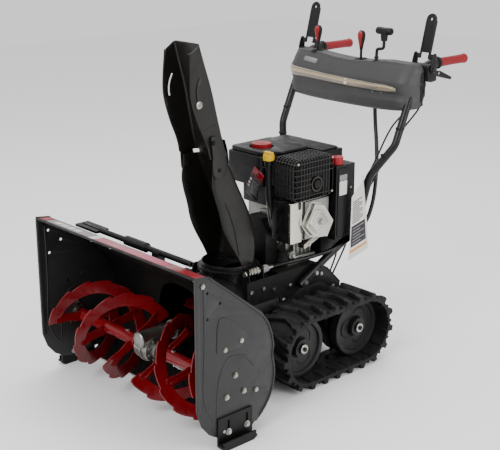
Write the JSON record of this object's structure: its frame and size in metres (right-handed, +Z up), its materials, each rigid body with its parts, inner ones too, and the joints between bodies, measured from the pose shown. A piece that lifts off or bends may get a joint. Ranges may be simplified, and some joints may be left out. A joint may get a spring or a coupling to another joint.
{
  "type": "tracked two stage snowblower",
  "caption": "Walk-behind tracked two stage snowblower with a serrated auger, an impeller, a turning chute with a tilting head, an engine and a dash with levers",
  "frame": {"origin": "on the ground under the middle of the machine", "axes": "+Z up, the auger housing faces -Y, +Y towards the operator, +X to the operator's left"},
  "size_m": [0.813, 1.282, 1.1071],
  "materials": {
    "deep_red_paint": "deep gloss crimson enamel",
    "dark_grey_paint": "warm dark grey semi gloss powder coat",
    "black_paint": "semi gloss black powder coat",
    "zinc": "zinc plated",
    "bare_steel": "ground steel",
    "cast_aluminium": "as cast",
    "bright_sheet": "bright folded sheet",
    "black_plastic": "fine grained",
    "dash_plastic": "moulded mid grey",
    "red_plastic": "moulded red",
    "yellow_plastic": "moulded yellow",
    "red_rubber": "soft ribbed grip",
    "track_rubber": "moulded track rubber",
    "belt_rubber": "drive belt",
    "cable_jacket": "smooth jacket",
    "lens": "clear ribbed lens",
    "label": "printed film and card"
  },
  "bodies": {
    "machine": {"auger_bearings": "zinc", "auger_housing": "black_paint", "belt_cover": "black_plastic", "blower_housing": "black_plastic", "control_box": "black_plastic", "control_cables": "cable_jacket", "dash_panel": "dash_plastic", "drive_belt": "belt_rubber", "engine_block": "cast_aluminium", "frame_bolts": "zinc", "fuel_tank": "black_plastic", "gearbox_case": "cast_aluminium", "grips": "red_rubber", "handlebars": "black_paint", "hang_tags": "label", "heat_shield": "bright_sheet", "housing_decal": "label", "impeller_housing": "black_paint", "lever_brackets": "black_plastic", "light_bar": "lens", "muffler": "black_paint", "muffler_guard": "black_paint", "scraper_blade": "black_paint", "shaft_bearings": "zinc", "side_plate_bolts": "zinc", "side_plates": "dark_grey_paint", "track_belts": "track_rubber", "track_frames": "black_paint", "tractor_frame": "black_paint", "valve_cover": "cast_aluminium", "worm_bracket": "black_paint"},
    "auger": {"auger_left": "deep_red_paint", "auger_right": "deep_red_paint", "auger_shaft": "bare_steel", "shear_bolts": "zinc"},
    "impeller_unit": {"impeller": "deep_red_paint", "impeller_shaft": "bare_steel"},
    "engine_crank": {"engine_pulley": "bare_steel"},
    "chute_unit": {"chute": "dark_grey_paint"},
    "chute_head": {"deflector": "dark_grey_paint"},
    "worm": {"chute_worm": "zinc"},
    "crank": {"chute_crank": "zinc"},
    "crank_handle": {"crank_knob": "black_plastic"},
    "deflector_control": {"deflector_lever": "black_plastic"},
    "speed_control": {"speed_lever": "black_plastic"},
    "auger_clutch": {"auger_lever": "black_plastic"},
    "drive_clutch": {"drive_lever": "black_plastic"},
    "trigger_left": {"steering_trigger_left": "black_plastic"},
    "trigger_right": {"steering_trigger_right": "black_plastic"},
    "sprocket_left": {"drive_sprocket_left": "black_plastic"},
    "sprocket_right": {"drive_sprocket_right": "black_plastic"},
    "idler_left": {"idler_wheel_left": "black_plastic"},
    "idler_right": {"idler_wheel_right": "black_plastic"},
    "skid_left": {"skid_shoe_left": "black_paint"},
    "skid_right": {"skid_shoe_right": "black_paint"},
    "fuel_filler_cap": {"fuel_cap": "red_plastic"},
    "oil_filler_cap": {"oil_cap": "yellow_plastic"},
    "choke": {"choke_knob": "red_plastic"},
    "loose_tool": {"clean_out_tool": "black_plastic"}
  },
  "joints": [
    {"name": "impeller_spin", "type": "hinge", "parent": "machine", "child": "impeller_unit", "pos_m": [0, -0.191, 0.2], "axis": [0, 1, 0], "continuous": true},
    {"name": "auger_spin", "type": "hinge", "parent": "machine", "child": "auger", "pos_m": [0, -0.502, 0.167], "axis": [1, 0, 0], "continuous": true},
    {"name": "engine_spin", "type": "hinge", "parent": "machine", "child": "engine_crank", "pos_m": [0, -0.056, 0.43], "axis": [0, 1, 0], "continuous": true},
    {"name": "chute_rotation", "type": "hinge", "parent": "machine", "child": "chute_unit", "pos_m": [0, -0.186, 0.352], "axis": [0, 0, 1], "range_deg": [-95, 95]},
    {"name": "deflector_tilt", "type": "hinge", "parent": "chute_unit", "child": "chute_head", "pos_m": [0, -0.309, 0.776], "axis": [1, 0, 0], "range_deg": [0, 50]},
    {"name": "worm_spin", "type": "hinge", "parent": "machine", "child": "worm", "pos_m": [0.11, -0.186, 0.3556], "axis": [0, 1, 0], "range_deg": [-4940, 4940]},
    {"name": "crank_spin", "type": "hinge", "parent": "machine", "child": "crank", "pos_m": [0.11, 0.363, 0.9], "axis": [0, 0, 1], "range_deg": [-4940, 4940]},
    {"name": "crank_knob_spin", "type": "hinge", "parent": "crank", "child": "crank_handle", "pos_m": [0.14, 0.363, 1.03], "axis": [0, 0, 1], "continuous": true},
    {"name": "deflector_lever_swing", "type": "hinge", "parent": "machine", "child": "deflector_control", "pos_m": [-0.165, 0.3785, 0.88], "axis": [1, 0, 0], "range_deg": [0, 15]},
    {"name": "speed_lever_swing", "type": "hinge", "parent": "machine", "child": "speed_control", "pos_m": [0.03, 0.3785, 0.88], "axis": [1, 0, 0], "range_deg": [-12, 15]},
    {"name": "auger_lever_squeeze", "type": "hinge", "parent": "machine", "child": "auger_clutch", "pos_m": [-0.254, 0.425, 0.932], "axis": [1, 0, 0], "range_deg": [-48, 0], "stiffness_Nm_per_rad": 2, "springref_deg": 17.19},
    {"name": "drive_lever_squeeze", "type": "hinge", "parent": "machine", "child": "drive_clutch", "pos_m": [0.254, 0.425, 0.932], "axis": [1, 0, 0], "range_deg": [-48, 0], "stiffness_Nm_per_rad": 2, "springref_deg": 17.19},
    {"name": "trigger_left_pull", "type": "hinge", "parent": "machine", "child": "trigger_left", "pos_m": [0.254, 0.487, 0.914], "axis": [1, 0, 0], "range_deg": [0, 18], "stiffness_Nm_per_rad": 0.8, "springref_deg": -17.19},
    {"name": "trigger_right_pull", "type": "hinge", "parent": "machine", "child": "trigger_right", "pos_m": [-0.254, 0.487, 0.914], "axis": [1, 0, 0], "range_deg": [0, 18], "stiffness_Nm_per_rad": 0.8, "springref_deg": -17.19},
    {"name": "sprocket_left_spin", "type": "hinge", "parent": "machine", "child": "sprocket_left", "pos_m": [0.229, 0.147, 0.125], "axis": [1, 0, 0], "continuous": true},
    {"name": "sprocket_right_spin", "type": "hinge", "parent": "machine", "child": "sprocket_right", "pos_m": [-0.229, 0.147, 0.125], "axis": [1, 0, 0], "continuous": true},
    {"name": "idler_left_spin", "type": "hinge", "parent": "machine", "child": "idler_left", "pos_m": [0.229, -0.108, 0.125], "axis": [1, 0, 0], "continuous": true},
    {"name": "idler_right_spin", "type": "hinge", "parent": "machine", "child": "idler_right", "pos_m": [-0.229, -0.108, 0.125], "axis": [1, 0, 0], "continuous": true},
    {"name": "skid_left_height", "type": "slide", "parent": "machine", "child": "skid_left", "axis": [0, 0, -1], "range_m": [0, 0.025]},
    {"name": "skid_right_height", "type": "slide", "parent": "machine", "child": "skid_right", "axis": [0, 0, -1], "range_m": [0, 0.025]},
    {"name": "fuel_cap_turn", "type": "hinge", "parent": "machine", "child": "fuel_filler_cap", "pos_m": [-0.02, -0.026, 0.71], "axis": [0, 0, 1], "range_deg": [0, 90]},
    {"name": "oil_cap_turn", "type": "hinge", "parent": "machine", "child": "oil_filler_cap", "pos_m": [0.078, -0.088, 0.7], "axis": [0, 0, 1], "range_deg": [0, 360]},
    {"name": "choke_turn", "type": "hinge", "parent": "machine", "child": "choke", "pos_m": [0.165, 0.126, 0.668], "axis": [0, 0, 1], "range_deg": [0, 90]},
    {"name": "tool_lift", "type": "slide", "parent": "machine", "child": "loose_tool", "axis": [0, 0, 1], "range_m": [0, 0.15]}
  ],
  "couplings": [
    {"joint": "auger_spin", "follows": "impeller_spin", "ratio": 0.1},
    {"joint": "worm_spin", "follows": "chute_rotation", "ratio": -52},
    {"joint": "crank_spin", "follows": "chute_rotation", "ratio": -52},
    {"joint": "deflector_lever_swing", "follows": "deflector_tilt", "ratio": 0.3},
    {"joint": "idler_left_spin", "follows": "sprocket_left_spin", "ratio": 1},
    {"joint": "idler_right_spin", "follows": "sprocket_right_spin", "ratio": 1}
  ]
}
